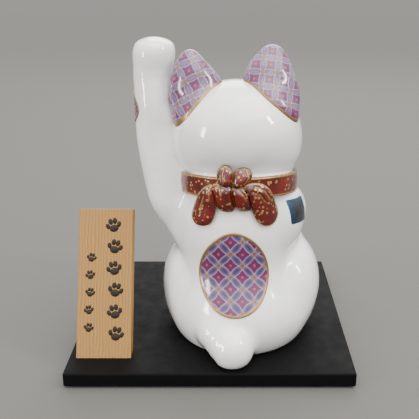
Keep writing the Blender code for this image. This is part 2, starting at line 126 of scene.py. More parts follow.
# %% Fields and how they blend
def egg(points, centre, size, turn=(0, 0, 0)):
    """Distance outside an ellipsoid with these half axes, turned by Euler degrees."""
    spin = np.array(Euler([math.radians(a) for a in turn]).to_matrix())
    local = (points - np.array(centre)) @ spin
    size = np.array(size)
    near = np.linalg.norm(local / size, axis=1)
    steep = np.linalg.norm(local / size**2, axis=1)
    return near * (near - 1.0) / np.maximum(steep, 1e-9)


def rod(points, start, end, start_radius, end_radius):
    """Distance outside a rounded rod whose radius changes along it."""
    start, along = np.array(start), np.array(end) - np.array(start)
    share = np.clip((points - start) @ along / (along @ along), 0.0, 1.0)
    middle = start + share[:, None] * along
    return np.linalg.norm(points - middle, axis=1) - start_radius - (end_radius - start_radius) * share


def join(first, second, blend):
    """Smooth union: the crease between two fields is filled over this width."""
    share = np.clip(0.5 + 0.5 * (second - first) / blend, 0.0, 1.0)
    return second + (first - second) * share - blend * share * (1.0 - share)


def carve(first, second, blend):
    return -join(-first, second, blend)


def lumps(points, group):
    found = None
    for centre, size, turn, blend in group:
        lump = egg(points, centre, size, turn)
        found = lump if found is None else join(found, lump, blend)
    return found


def limb(points, stations, pieces=3):
    """A chain of short rods along a smooth curve through the stations."""
    rows = np.array([(*place, radius) for place, radius in stations])
    rows = np.vstack([2 * rows[0] - rows[1], rows, 2 * rows[-1] - rows[-2]])
    found, last = None, rows[1]
    for a, b, c, d in zip(rows, rows[1:], rows[2:], rows[3:]):
        for t in np.linspace(0.0, 1.0, pieces + 1)[1:]:
            here = 0.5 * (2 * b + (c - a) * t + (2 * a - 5 * b + 4 * c - d) * t**2
                          + (3 * b - a - 3 * c + d) * t**3)
            part = rod(points, last[:3], here[:3], last[3], here[3])
            found, last = part if found is None else np.minimum(found, part), here
    return found


def seated(points, clay):
    """Clay filled up and cut back to the ring-shaped seat that the ribbon lies in."""
    height = points[:, 2] - NECK_Z - NECK_FALL * points[:, 1]
    seat = egg(points, *SEAT)
    in_band = np.abs(height) - SEAT_HALF
    filled = join(clay, np.maximum(seat + 0.3, in_band), 1.0)
    return carve(filled, np.maximum(-seat, in_band), 1.0)


def head_field(points):
    return lumps(points, HEAD)


def head_clay(points):
    return seated(points, head_field(points))


def torso_field(points):
    found = join(lumps(points, TORSO), limb(points, LOWERED_ARM), 9.0)
    return carve(found, points[:, 2], 3.0)


def body_field(points):
    """Torso and head as one, for the medallion, the label and the bell to lie on."""
    return join(torso_field(points), head_field(points), 5.0)


def neck_field(points):
    """The same with the crease at the neck filled, which the bow bridges."""
    return join(torso_field(points), head_field(points), 18.0)


def arm_field(points):
    return join(limb(points, RAISED_ARM), lumps(points, PAW), 9.0)


def figure_field(points):
    """The torso with everything that was stuck on and smoothed over: arm, feet and tail."""
    found = seated(points, join(lumps(points, TORSO), limb(points, LOWERED_ARM), 9.0))
    found = join(found, join(arm_field(points), limb(points, WEB), 14.0), 10.0)
    for foot in FEET:
        found = join(found, lumps(points, (foot,)), 6.0)
    found = join(found, limb(points, TAIL), 7.0)
    return carve(found, points[:, 2], 2.5)


sample = np.array([[0.0, 0.0, 100.0], [200.0, 0.0, 100.0]])
print("inside and outside of the torso:", torso_field(sample).round(1))

# %% [markdown]
# ## From a field to a mesh
# A mesh is needed in the end.  Marching through a grid by hand would mean our own lists of faces.
# It is simpler to drop plain ellipsoids where the lumps are, let the voxel remesher wrap them in
# one even skin, and then slide each point of the skin down the field's slope to its zero level.


# %% Wrap and pull
def add_egg(bm, centre, size, turn=(0, 0, 0)):
    spin = Euler([math.radians(a) for a in turn]).to_matrix().to_4x4()
    place = Matrix.Translation(centre) @ spin @ Matrix.Diagonal((*size, 1.0))
    bmesh.ops.create_uvsphere(bm, u_segments=24, v_segments=12, radius=1.0, matrix=place)


def add_limb(bm, stations):
    for (start, start_radius), (end, end_radius) in zip(stations, stations[1:]):
        for share in np.linspace(0.0, 1.0, 7):
            place = np.array(start) * (1 - share) + np.array(end) * share
            add_egg(bm, place, (start_radius * (1 - share) + end_radius * share,) * 3)


def points_of(bm):
    return np.array([vert.co for vert in bm.verts])


def move_to(bm, points):
    for vert, place in zip(bm.verts, points):
        vert.co = place


def pull_onto(bm, field, steps, level=0.0):
    points, tiny = points_of(bm), 0.02
    for _ in range(steps):
        slope = np.stack([(field(points + tiny * axis) - field(points - tiny * axis)) / (2 * tiny)
                          for axis in np.eye(3)], axis=1)
        steep = np.maximum((slope**2).sum(axis=1), 0.05)
        step = np.clip((field(points) - level) / steep, -3.0, 3.0)
        points = points - step[:, None] * slope
    move_to(bm, points)


def wrapped(field, voxel, eggs=(), limbs=()):
    bm = bmesh.new()
    for centre, size, turn, _ in eggs:
        add_egg(bm, centre, size, turn)
    for stations in limbs:
        add_limb(bm, stations)
    mesh = bpy.data.meshes.new("form")
    bm.to_mesh(mesh)
    bm.free()
    form = bpy.data.objects.new("form", mesh)
    bpy.context.scene.collection.objects.link(form)
    remesh = form.modifiers.new("Remesh", "REMESH")
    remesh.mode = "VOXEL"
    remesh.voxel_size = voxel
    skin = bmesh.new()
    skin.from_object(form, bpy.context.evaluated_depsgraph_get())
    bpy.data.objects.remove(form, do_unlink=True)
    for _ in range(2):
        pull_onto(skin, field, 4)
        bmesh.ops.smooth_vert(skin, verts=skin.verts, factor=0.5,
                              use_axis_x=True, use_axis_y=True, use_axis_z=True)
    pull_onto(skin, field, 3)
    return skin


def touch(starts, aims, field, level, steps=45):
    """Walks points along their directions until the field has this value."""
    points = np.array(starts, dtype=float)
    for _ in range(steps):
        points += np.array(aims) * ((field(points) - level) * 0.8)[:, None]
    return points


def make_piece(name, bm, finish, stands_for=(), marks=None, body="cat",
               place=WORLD_FROM_CAT):
    """Turns a bmesh into a finished piece that rides on a body; marks become attributes."""
    bm.transform(place)
    mesh = bpy.data.meshes.new(name)
    bm.to_mesh(mesh)
    bm.free()
    for mark, values in (marks or {}).items():
        mesh.attributes.new(mark, "FLOAT", "POINT").data.foreach_set(
            "value", np.asarray(values, dtype=np.float32))
    mesh.shade_smooth()
    mesh.materials.append(finish)
    obj = bpy.data.objects.new(name, mesh)
    bpy.context.scene.collection.objects.link(obj)
    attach(obj, body)
    if stands_for:
        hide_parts(*stands_for)
    print(name, len(mesh.polygons), "faces")
    return obj


# %% [markdown]
# ## Small tools for materials
# Colours are easiest to note down as the 0 to 255 values of a paint card, while shaders want
# linear light, so `paint` converts them.  The other helpers add one node each.  They keep the
# materials below short enough to read.


# %% Node helpers
def paint(red, green, blue):
    linear = [(c / 255 / 12.92) if c < 11 else ((c / 255 + 0.055) / 1.055) ** 2.4
              for c in (red, green, blue)]
    return (*linear, 1.0)


def connect(tree, value, socket):
    """Puts a constant or another node's output into a socket."""
    if isinstance(value, bpy.types.NodeSocket):
        tree.links.new(value, socket)
    else:
        socket.default_value = value


def calc(tree, operation, *values):
    node = tree.nodes.new("ShaderNodeMath")
    node.operation = operation
    for value, socket in zip(values, node.inputs):
        connect(tree, value, socket)
    return node.outputs[0]


def step_up(tree, value, start, end):
    """0 below start and 1 above end, with a straight ramp between."""
    node = tree.nodes.new("ShaderNodeMapRange")
    connect(tree, value, node.inputs["Value"])
    node.inputs["From Min"].default_value = start
    node.inputs["From Max"].default_value = end
    return node.outputs["Result"]


def blend_colours(tree, share, first, second):
    node = tree.nodes.new("ShaderNodeMix")
    node.data_type = "RGBA"
    connect(tree, share, node.inputs["Factor"])
    connect(tree, first, node.inputs["A"])
    connect(tree, second, node.inputs["B"])
    return node.outputs["Result"]


def noise(tree, vector, scale, detail=3.0, roughness=0.5):
    node = tree.nodes.new("ShaderNodeTexNoise")
    connect(tree, vector, node.inputs["Vector"])
    node.inputs["Scale"].default_value = scale
    node.inputs["Detail"].default_value = detail
    node.inputs["Roughness"].default_value = roughness
    return node.outputs["Fac"]


def placed(tree, scale, location=(0, 0, 0), turn=(0, 0, 0)):
    """Object coordinates, turned and scaled: scale 1000 counts in millimetres."""
    where = tree.nodes.new("ShaderNodeTexCoord")
    node = tree.nodes.new("ShaderNodeMapping")
    tree.links.new(where.outputs["Object"], node.inputs["Vector"])
    node.inputs["Location"].default_value = location
    node.inputs["Rotation"].default_value = [math.radians(a) for a in turn]
    node.inputs["Scale"].default_value = (scale,) * 3 if isinstance(scale, (int, float)) else scale
    return node.outputs["Vector"]


def mark(tree, name):
    node = tree.nodes.new("ShaderNodeAttribute")
    node.attribute_name = name
    return node.outputs["Fac"]


def new_material(name, roughness=0.5, metallic=0.0, coat=0.0):
    made = bpy.data.materials.new(name)
    made.use_nodes = True
    shader = made.node_tree.nodes["Principled BSDF"]
    shader.inputs["Roughness"].default_value = roughness
    shader.inputs["Metallic"].default_value = metallic
    shader.inputs["Coat Weight"].default_value = coat
    shader.inputs["Coat Roughness"].default_value = 0.03
    return made, made.node_tree, shader


def add_bump(tree, shader, height, strength, distance):
    node = tree.nodes.new("ShaderNodeBump")
    node.inputs["Strength"].default_value = strength
    node.inputs["Distance"].default_value = distance
    tree.links.new(height, node.inputs["Height"])
    tree.links.new(node.outputs["Normal"], shader.inputs["Normal"])


def new_group(name, inputs, outputs):
    group = bpy.data.node_groups.new(name, "ShaderNodeTree")
    for title, kind in inputs:
        group.interface.new_socket(name=title, in_out="INPUT", socket_type=kind)
    for title, kind in outputs:
        group.interface.new_socket(name=title, in_out="OUTPUT", socket_type=kind)
    return group, group.nodes.new("NodeGroupInput"), group.nodes.new("NodeGroupOutput")


def use_group(tree, group, **values):
    node = tree.nodes.new("ShaderNodeGroup")
    node.node_tree = group
    for title, value in values.items():
        connect(tree, value, node.inputs[title.replace("_", " ")])
    return node


print("paint card red in linear light:", [round(c, 3) for c in paint(150, 50, 40)])

# %% [markdown]
# ## The glaze
# Fired glaze is glass over clay.  It pools and thins a little, so its tint wanders over a few
# centimetres and its surface swells by hundredths of a millimetre, which is what makes reflections
# on porcelain wobble.  Every glazed or enamelled piece shares that, so it is a node group.

# %% Glaze group
FLOAT, VECTOR, COLOUR = "NodeSocketFloat", "NodeSocketVector", "NodeSocketColor"
GLAZE, start, end = new_group(
    "glaze_wander", [("Vector", VECTOR)], [("Pooling", FLOAT), ("Swell", FLOAT), ("Specks", FLOAT)])
pooling = noise(GLAZE, start.outputs["Vector"], 0.035, 2.0)
swell = noise(GLAZE, start.outputs["Vector"], 0.11, 2.0)
specks = noise(GLAZE, start.outputs["Vector"], 1.1, 2.0)
connect(GLAZE, step_up(GLAZE, pooling, 0.35, 0.7), end.inputs["Pooling"])
connect(GLAZE, swell, end.inputs["Swell"])
connect(GLAZE, step_up(GLAZE, specks, 0.72, 0.78), end.inputs["Specks"])


def glaze_over(tree, shader, strength=0.15):
    """Adds the swell of the glaze to a material and returns its masks."""
    glaze = use_group(tree, GLAZE, Vector=placed(tree, 1000))
    add_bump(tree, shader, glaze.outputs["Swell"], strength, 0.0006)
    return glaze.outputs["Pooling"], glaze.outputs["Specks"]


def porcelain_material():
    made, tree, shader = new_material("white_porcelain", 0.16, 0.0, 1.0)
    pooling, specks = glaze_over(tree, shader)
    white = blend_colours(tree, pooling, paint(240, 239, 235), paint(230, 230, 229))
    white = blend_colours(tree, calc(tree, "MULTIPLY", specks, 0.10), white, paint(150, 135, 118))
    connect(tree, white, shader.inputs["Base Color"])
    rough = step_up(tree, pooling, -1.0, 9.0)
    connect(tree, rough, shader.inputs["Roughness"])
    return made


PORCELAIN = porcelain_material()
print("materials so far:", [m.name for m in bpy.data.materials if m.users])

# %% [markdown]
# ## Torso and head
# The torso, the raised arm, the feet and the tail are one skin, because on the real cat the potter
# smooths the joints with slip.  The head meets the torso under the ribbon.  The head is trimmed on
# the sloping plane there with `bisect_plane`, and the rim that this leaves is filled.


# %% Cast the torso and the head
def trimmed(bm, side):
    """Keeps the part below (-1) or above (1) the parting plane, and caps the cut."""
    normal = Vector((0.0, -NECK_FALL, 1.0)).normalized()
    point = Vector((0.0, 0.0, NECK_Z + 0.3 * side))
    bmesh.ops.bisect_plane(bm, geom=[*bm.verts, *bm.edges, *bm.faces], plane_co=point,
                           plane_no=normal, clear_inner=side > 0, clear_outer=side < 0)
    rim = [edge for edge in bm.edges if edge.is_boundary]
    bmesh.ops.holes_fill(bm, edges=rim, sides=0)
    bmesh.ops.recalc_face_normals(bm, faces=bm.faces)
    return bm


figure = wrapped(figure_field, 2.1, (*TORSO, *FEET, *PAW), (RAISED_ARM, LOWERED_ARM, TAIL, WEB))
make_piece("porcelain_body", figure, PORCELAIN,
           ("torso_casting", "raised_arm", "hind_foot_left", "hind_foot_right", "tail"))
head = trimmed(wrapped(head_clay, 1.9, HEAD), 1)
make_piece("porcelain_head", head, PORCELAIN, ("head_casting",))

# %% [markdown]
# ## The interlocking-circle pattern
# Ears and medallions carry an old pattern of overlapping circles.  Every circle reaches the centres
# of the crossings round it, so neighbours overlap in lens shapes, and a cushion shape is left in
# the middle of each cell.  A texture image would blur and would have to be unwrapped.  A few
# distances in a node group draw it sharp at any size: `u` and `v` are distances from the middle of
# the cell, and `ring` is the distance to the nearest circle line.

# %% Pattern group
PATTERN, start, end = new_group(
    "circle_pattern", [("Vector", VECTOR), ("Fading", FLOAT)],
    [("Color", COLOUR), ("Relief", FLOAT), ("Gold", FLOAT)])
split = PATTERN.nodes.new("ShaderNodeSeparateXYZ")
wobble = PATTERN.nodes.new("ShaderNodeTexNoise")
wobble.inputs["Scale"].default_value = 1.3
connect(PATTERN, start.outputs["Vector"], wobble.inputs["Vector"])
connect(PATTERN, start.outputs["Vector"], split.inputs["Vector"])
wander = calc(PATTERN, "MULTIPLY", calc(PATTERN, "SUBTRACT", wobble.outputs["Fac"], 0.5), 0.16)


def from_middle(value):
    """Distance from the middle of the cell along one axis, 0 to 0.5."""
    shifted = calc(PATTERN, "ADD", value, wander)
    return calc(PATTERN, "ABSOLUTE",
                calc(PATTERN, "SUBTRACT", calc(PATTERN, "FRACT", shifted), 0.5))


def reach(first, second):
    """Length of a pair of numbers."""
    square = calc(PATTERN, "ADD", calc(PATTERN, "POWER", first, 2.0),
                  calc(PATTERN, "POWER", second, 2.0))
    return calc(PATTERN, "SQRT", square)


u, v = from_middle(split.outputs["X"]), from_middle(split.outputs["Z"])
sideways = reach(calc(PATTERN, "SUBTRACT", 1.0, u), v)
upwards = reach(u, calc(PATTERN, "SUBTRACT", 1.0, v))
ring = calc(PATTERN, "SUBTRACT", calc(PATTERN, "MINIMUM", sideways, upwards), 0.7071)
centre = reach(u, v)
crossing = reach(calc(PATTERN, "SUBTRACT", 0.5, u), calc(PATTERN, "SUBTRACT", 0.5, v))
squareness = calc(PATTERN, "MAXIMUM", u, v)
patch = calc(PATTERN, "MINIMUM", step_up(PATTERN, ring, 0.01, 0.035),
             step_up(PATTERN, squareness, 0.31, 0.285))
lens = calc(PATTERN, "MINIMUM", step_up(PATTERN, ring, -0.085, -0.115),
            step_up(PATTERN, crossing, 0.25, 0.29))
line = calc(PATTERN, "SUBTRACT", 1.0, calc(PATTERN, "MAXIMUM", patch, lens))
shade_noise = noise(PATTERN, start.outputs["Vector"], 0.9, 2.0)

purple = blend_colours(PATTERN, shade_noise, paint(72, 20, 60), paint(108, 42, 90))
ground = blend_colours(PATTERN, step_up(PATTERN, ring, -0.015, -0.05), paint(142, 120, 144),
                       paint(96, 74, 108))
colour = blend_colours(PATTERN, patch, ground, purple)
core = step_up(PATTERN, ring, -0.14, -0.17)
blue = blend_colours(PATTERN, core, paint(70, 66, 108), paint(54, 50, 90))
blue = blend_colours(PATTERN, start.outputs["Fading"], blue, paint(124, 98, 130))
colour = blend_colours(PATTERN, lens, colour, blue)
colour = blend_colours(PATTERN, step_up(PATTERN, centre, 0.11, 0.06), colour, paint(158, 64, 90))
flower = step_up(PATTERN, crossing, 0.20, 0.15)
colour = blend_colours(PATTERN, flower, colour, paint(130, 106, 104))
gold = step_up(PATTERN, crossing, 0.11, 0.06)
colour = blend_colours(PATTERN, gold, colour, paint(120, 92, 60))
connect(PATTERN, colour, end.inputs["Color"])
connect(PATTERN, calc(PATTERN, "ADD", line, flower), end.inputs["Relief"])
connect(PATTERN, gold, end.inputs["Gold"])
print("pattern nodes:", len(PATTERN.nodes))

# %% [markdown]
# ## Ears
# Each ear is pressed clay, patterned on the back with a gold line where it meets the head.  The
# line follows the joint, so no texture coordinate describes it.  We measure how far each point of
# the ear lies off the head and store it as an attribute, which the material reads.  The pattern is
# laid out square to a visitor's line of sight, so it doesn't look squashed from behind.

# %% Ear material and ears
VIEW_TILT = 18.07                # degrees by which a visitor looks down on the shelf


def patterned_material(name, cell, turn, centre, line_mark, line_start, line_end, front=None):
    """Pattern enamel, one cell centred on a world point in millimetres.

    Its gold line runs where an attribute goes from line_start to line_end.
    """
    made, tree, shader = new_material(name, 0.16, 0.0, 0.6)
    pooling, _ = glaze_over(tree, shader, 0.04)
    spin = Euler([math.radians(a) for a in turn]).to_matrix()
    middle = spin @ (Vector(centre) / cell)
    spot = placed(tree, 1000.0 / cell, (0.5 - middle.x, 0.0, 0.5 - middle.z), turn)
    pattern = use_group(tree, PATTERN, Vector=spot, Fading=0.75 if front else 0.0)
    lined = step_up(tree, mark(tree, line_mark), line_start, line_end)
    gold_tone = blend_colours(tree, noise(tree, placed(tree, 1000), 0.4), paint(124, 90, 48),
                              paint(170, 136, 84))
    colour = blend_colours(tree, lined, pattern.outputs["Color"], gold_tone)
    metal = calc(tree, "MAXIMUM", calc(tree, "MULTIPLY", pattern.outputs["Gold"], 0.5), lined)
    if front:
        bare = step_up(tree, mark(tree, "front"), 0.0, 0.5)
        colour = blend_colours(tree, bare, colour, paint(240, 239, 235))
        metal = calc(tree, "MULTIPLY", metal, calc(tree, "SUBTRACT", 1.0, bare))
    connect(tree, colour, shader.inputs["Base Color"])
    connect(tree, calc(tree, "MULTIPLY", metal, 0.75), shader.inputs["Metallic"])
    connect(tree, step_up(tree, metal, -0.7, 3.5), shader.inputs["Roughness"])
    height = calc(tree, "ADD", pattern.outputs["Relief"], calc(tree, "MULTIPLY", lined, 2.0))
    add_bump(tree, shader, height, 0.2, 0.0002)
    return made


EAR_LINE = 1.5
EAR_PATTERN = {"ear_left": (12.4, -25.0, (10.6, 0.0, 206.5)),
               "ear_right": (11.4, 7.0, (-44.7, 0.0, 211.4))}
for name, eggs in EARS.items():
    cell, turn, middle = EAR_PATTERN[name]
    ear = wrapped(lambda points, eggs=eggs: lumps(points, eggs), 1.1, eggs)
    places = points_of(ear)
    marks = {"off_head": head_field(places), "front": -6.0 - places[:, 1]}
    finish = patterned_material(name + "_enamel", cell, (-VIEW_TILT, turn, 0.0), middle,
                                "off_head", EAR_LINE + 0.15, EAR_LINE - 0.15, front=True)
    make_piece(name + "_piece", ear, finish, (name,), marks)

# %% [markdown]
# ## Laid-on pieces
# Medallions, bow, label and painted marks all lie on the cat.  They share one tool.  A sphere from
# `create_uvsphere` already has rings that close at two poles.  We flatten it: its lower half
# becomes the face that touches, its upper half the face one sees, and its equator follows the
# outline.  Then each point walks along one direction until it meets the clay.


# %% The laid-on tool
def smooth_loop(corners, count):
    """Points spread evenly along a closed smooth curve through these corners."""
    corners = np.array(corners)
    curve = []
    for i in range(len(corners)):
        a, b, c, d = (corners[(i + k) % len(corners)] for k in (-1, 0, 1, 2))
        for t in np.linspace(0.0, 1.0, 12, endpoint=False):
            curve.append(0.5 * (2 * b + (c - a) * t + (2 * a - 5 * b + 4 * c - d) * t**2
                                + (3 * b - a - 3 * c + d) * t**3))
    curve = np.array(curve)
    steps = np.linalg.norm(np.roll(curve, -1, axis=0) - curve, axis=1)
    along = np.concatenate([[0.0], np.cumsum(steps)])
    wanted = np.linspace(0.0, along[-1], count, endpoint=False)
    closed = np.vstack([curve, curve[:1]])
    return np.stack([np.interp(wanted, along, closed[:, k]) for k in range(2)], axis=1)


def laid_on(outline, field, lift, aim=(0.0, -1.0, 0.0), rings=24, sink=0.4, full=0.5):
    """A closed form whose rim follows the outline, laid along a level aim.

    lift(share, flat) gives the height over the clay; share is 0 in the middle and 1 at the rim.
    Returns the mesh, each point's share and its place on the flat outline.
    """
    count = len(outline)
    middle = outline.mean(axis=0)
    aim = np.array(aim)
    across = np.array((-aim[1], aim[0], 0.0))
    bm = bmesh.new()
    bmesh.ops.create_uvsphere(bm, u_segments=count, v_segments=rings, radius=1.0)
    ball = points_of(bm)
    round_the_rim = np.arctan2(ball[:, 1], ball[:, 0]) / (2 * math.pi) % 1.0
    share = np.hypot(ball[:, 0], ball[:, 1]) ** full
    spot = np.rint(round_the_rim * count).astype(int) % count
    flat = middle + (outline[spot] - middle) * share[:, None]
    upper = ball[:, 2] > 1e-6
    height = np.where(upper, lift(share, flat), -sink)
    starts = flat[:, :1] * across + flat[:, 1:] * (0.0, 0.0, 1.0) - 110.0 * aim
    places = touch(starts, np.tile(aim, (len(flat), 1)), field, 0.0) - height[:, None] * aim
    move_to(bm, places)
    bmesh.ops.recalc_face_normals(bm, faces=bm.faces)
    if bm.calc_volume(signed=True) < 0:
        bmesh.ops.reverse_faces(bm, faces=bm.faces)
    return bm, share, flat


def off_lines(flat, lines):
    """Distance of flat points from the nearest of some polylines."""
    near = np.full(len(flat), 1e3)
    for line in lines:
        for one, two in zip(np.array(line), np.array(line)[1:]):
            along = two - one
            share = np.clip((flat - one) @ along / (along @ along), 0.0, 1.0)
            near = np.minimum(near, np.linalg.norm(flat - one - share[:, None] * along, axis=1))
    return near


def egg_outline(centre, half_width, half_height, narrowing, count=120):
    """An oval that is narrower at the top."""
    turn = np.linspace(0.0, 2 * math.pi, count, endpoint=False)
    return np.stack([centre[0] + half_width * np.cos(turn) * (1 - narrowing * np.sin(turn)),
                     centre[1] + half_height * np.sin(turn)], axis=1)


print("smooth loop of a square:", smooth_loop([(0, 0), (1, 0), (1, 1), (0, 1)], 4).round(2).tolist())

# %% [markdown]
# ## Medallions
# An egg-shaped medallion is painted on the back and another on the outside of the raised arm.
# Enamel stands proud of the glaze by a few tenths of a millimetre, and the gold rim a bit more.

# %% Medallions
RIM_SHARE = 0.935


def enamel_lift(share, flat):
    """A thin plateau with a rounded rim."""
    rim = np.clip((share - RIM_SHARE) / (1 - RIM_SHARE), 0.0, 1.0)
    return 0.45 + 0.4 * np.sin(math.pi * rim)


back = egg_outline((1.3, 67.1), 27.0, 31.7, 0.146)
bm, share, flat = laid_on(back, body_field, enamel_lift, rings=40, full=1.0)
finish = patterned_material("back_medallion_enamel", 12.9, (-VIEW_TILT, 45.0, 0.0),
                            (-15.6, 0.0, 63.5), "rim", RIM_SHARE - 0.005, RIM_SHARE + 0.005)
make_piece("back_medallion", bm, finish, (), {"rim": share})

ARM_AIM = (-0.97, 0.243, 0.0)
on_arm = egg_outline((-10.0, 183.0), 12.6, 12.8, 0.08, 80)
bm, share, flat = laid_on(on_arm, arm_field, enamel_lift, ARM_AIM, rings=28, full=1.0)
finish = patterned_material("arm_medallion_enamel", 9.0, (45.0, 0.0, 90.0), (60.0, 4.0, 196.0),
                            "rim", RIM_SHARE - 0.005, RIM_SHARE + 0.005)
make_piece("arm_medallion", bm, finish, (), {"rim": share})

# %% [markdown]
# ## Red enamel with gold
# The ribbon is glazed brick red, with painted shade that darkens it where band and cushions turn
# down to the clay, and sprinkled with small gold flowers that are brushed on in clusters.  Gold lines
# run along its edges and a few folds.
# A Voronoi texture gives one dot per cell, and a broad noise keeps them in clusters.

# %% Red material
def red_material():
    made, tree, shader = new_material("red_ribbon_enamel", 0.2, 0.0, 0.4)
    where = placed(tree, 1000)
    shade_noise = noise(tree, where, 0.12, 3.0)
    red = blend_colours(tree, step_up(tree, shade_noise, 0.35, 0.65), paint(66, 6, 4),
                        paint(102, 14, 8))
    # painted shade: the red turns dark brown along the turned-down edges of band and cushions
    red = blend_colours(tree, mark(tree, "painted_shade"), red, paint(54, 30, 12))
    dots = tree.nodes.new("ShaderNodeTexVoronoi")
    dots.inputs["Scale"].default_value = 0.29
    dots.inputs["Randomness"].default_value = 0.8
    connect(tree, where, dots.inputs["Vector"])
    cluster = step_up(tree, noise(tree, where, 0.11, 1.0), 0.40, 0.46)
    dot = calc(tree, "MULTIPLY", step_up(tree, dots.outputs["Distance"], 0.34, 0.27), cluster)
    gold = calc(tree, "MAXIMUM", dot, mark(tree, "gold"))
    gold_tone = blend_colours(tree, noise(tree, where, 0.5), paint(136, 98, 44),
                              paint(206, 170, 100))
    colour = blend_colours(tree, gold, red, gold_tone)
    connect(tree, colour, shader.inputs["Base Color"])
    connect(tree, calc(tree, "MULTIPLY", gold, 0.7), shader.inputs["Metallic"])
    connect(tree, step_up(tree, gold, -0.8, 3.6), shader.inputs["Roughness"])
    add_bump(tree, shader, gold, 0.5, 0.0003)
    return made


RED_RIBBON = red_material()

# %% [markdown]
# ## The ribbon
# The band is a flat strip with rounded edges that follows the neck.  A full `spin` of its section
# makes a plain ring first.  Each point of the ring knows its depth and height, so it can walk in
# towards the smooth seat that is cut round the neck, and stop at its own depth over it.

# %% Ribbon band
SECTION = ((-2.0, -7.6), (-2.0, 0.0), (-2.0, 7.6), (0.4, 8.3), (1.6, 8.5), (2.4, 8.0), (2.7, 7.2),
           (2.4, 6.2), (2.6, 3.0), (2.7, 0.0), (2.6, -3.0), (2.4, -6.2), (2.7, -7.2),
           (2.4, -8.0), (1.6, -8.5), (0.4, -8.3))
RING = 95.0
bm = bmesh.new()
corners = [bm.verts.new((RING + depth, 0.0, height)) for depth, height in SECTION]
edges = [bm.edges.new(pair) for pair in zip(corners, corners[1:] + corners[:1])]
bmesh.ops.spin(bm, geom=[*corners, *edges], cent=(0, 0, 0), axis=(0, 0, 1),
               angle=2 * math.pi, steps=220, use_merge=True, use_duplicate=False)
bmesh.ops.remove_doubles(bm, verts=bm.verts, dist=0.001)
ring = points_of(bm)
turn = np.arctan2(ring[:, 1], ring[:, 0])
depth = np.hypot(ring[:, 0], ring[:, 1]) - RING
height = ring[:, 2].copy()
out = np.stack([np.cos(turn), np.sin(turn), NECK_FALL * np.sin(turn)], axis=1)
starts = RING * out
starts[:, 2] += NECK_Z + height
near_bow = np.exp(-((turn - math.pi / 2) / 0.5) ** 2)
pleat = 0.4 * near_bow * np.cos(height * 1.05 + 0.6) * (depth > 1.0)
narrow = 1.0 - 0.08 * near_bow
starts[:, 2] += height * (narrow - 1.0)
move_to(bm, touch(starts, -out, lambda points: egg(points, *SEAT), depth + 0.5 + pleat))
bmesh.ops.recalc_face_normals(bm, faces=bm.faces)
edge_gold = np.exp(-((np.abs(height) - 7.3) / 0.5) ** 2) * (depth > 1.0)
# painted shade along the band's rounded edges, where it turns down to the neck
painted_shade = np.clip((np.abs(height) - 7.9) / 0.5, 0, 1) * 0.8
make_piece("ribbon_strip", bm, RED_RIBBON, ("ribbon_band",),
           {"gold": edge_gold, "painted_shade": painted_shade})


# %% [markdown]
# ## The bow
# Two loops stand up, two lobes hang in the middle and two tails hang outside them.  Each is a small
# cushion of clay.  Its outline is a smooth loop through a few corners, its height is a dome, and its creases
# are lines that are pressed into the dome and gilded.

# %% Bow cushions
BOW = {
    "bow_loop_left": (
        (12.0, 147.0), (8.4, 149.6), (4.5, 148.4), (2.4, 145.0), (2.4, 140.5), (3.0, 135.5),
        (8.4, 134.5), (13.0, 135.8), (14.2, 141.5), (13.6, 145.0)),
    "bow_loop_right": (
        (-1.8, 146.8), (-5.4, 147.9), (-9.4, 146.8), (-11.9, 144.1), (-12.2, 141.0),
        (-9.2, 137.2), (-4.2, 134.0), (1.6, 133.6), (3.0, 137.0), (2.8, 141.0), (1.0, 144.6)),
    "bow_lobe_left": (
        (17.0, 135.5), (13.0, 136.6), (8.6, 136.2), (3.6, 134.0), (2.2, 126.5), (0.6, 119.6),
        (1.6, 115.6), (6.6, 114.3), (11.8, 115.6), (15.0, 120.2), (16.8, 127.0), (17.8, 131.8)),
    "bow_lobe_right": (
        (3.0, 133.4), (-1.4, 134.6), (-6.0, 133.4), (-9.4, 129.6), (-11.6, 122.0), (-11.7, 116.9),
        (-8.4, 114.9), (-3.2, 115.3), (0.4, 118.8), (2.2, 126.0)),
    "bow_tail_left": (
        (21.8, 133.6), (17.8, 135.6), (16.2, 130.5), (14.8, 123.5), (14.6, 116.0), (16.2, 109.2),
        (19.2, 104.4), (24.2, 101.9), (30.0, 101.7), (33.2, 104.8), (33.4, 109.4), (31.6, 116.0),
        (28.8, 124.6), (25.5, 130.4)),
    "bow_tail_right": (
        (-6.0, 135.6), (-12.3, 137.2), (-19.0, 136.0), (-24.6, 132.2), (-28.2, 125.8),
        (-30.8, 117.4), (-32.6, 110.7), (-31.5, 105.5), (-28.0, 102.2), (-22.8, 102.2),
        (-17.6, 105.2), (-13.8, 110.5), (-11.4, 116.5), (-9.8, 122.4), (-7.8, 128.6)),
}
CREASES = {
    "bow_loop_left": (((8.6, 148.5), (9.8, 144.0), (9.2, 137.5)),),
    "bow_loop_right": (((-8.2, 146.0), (-9.5, 142.0), (-7.0, 137.5)),),
    "bow_lobe_left": (((13.0, 136.0), (12.0, 133.0), (11.7, 129.0)),),
    "bow_lobe_right": (((-1.5, 133.0), (-5.5, 129.5), (-7.5, 125.5)),),
    "bow_tail_left": (((24.0, 126.0), (26.4, 118.0), (26.8, 110.5)), ((20.4, 132.0), (19.8, 124.0))),
    "bow_tail_right": (((-12.0, 131.0), (-17.5, 129.0), (-23.0, 121.5)),
                       ((-14.5, 134.5), (-21.5, 131.0), (-26.0, 123.0))),
}
BOW_THICK = 6.3


def under_bow(points):
    """What the bow lies on: the neck, swollen where the band runs under it."""
    height = points[:, 2] - NECK_Z - NECK_FALL * points[:, 1]
    return neck_field(points) - 2.4 * np.exp(-(height / 13.0) ** 2)


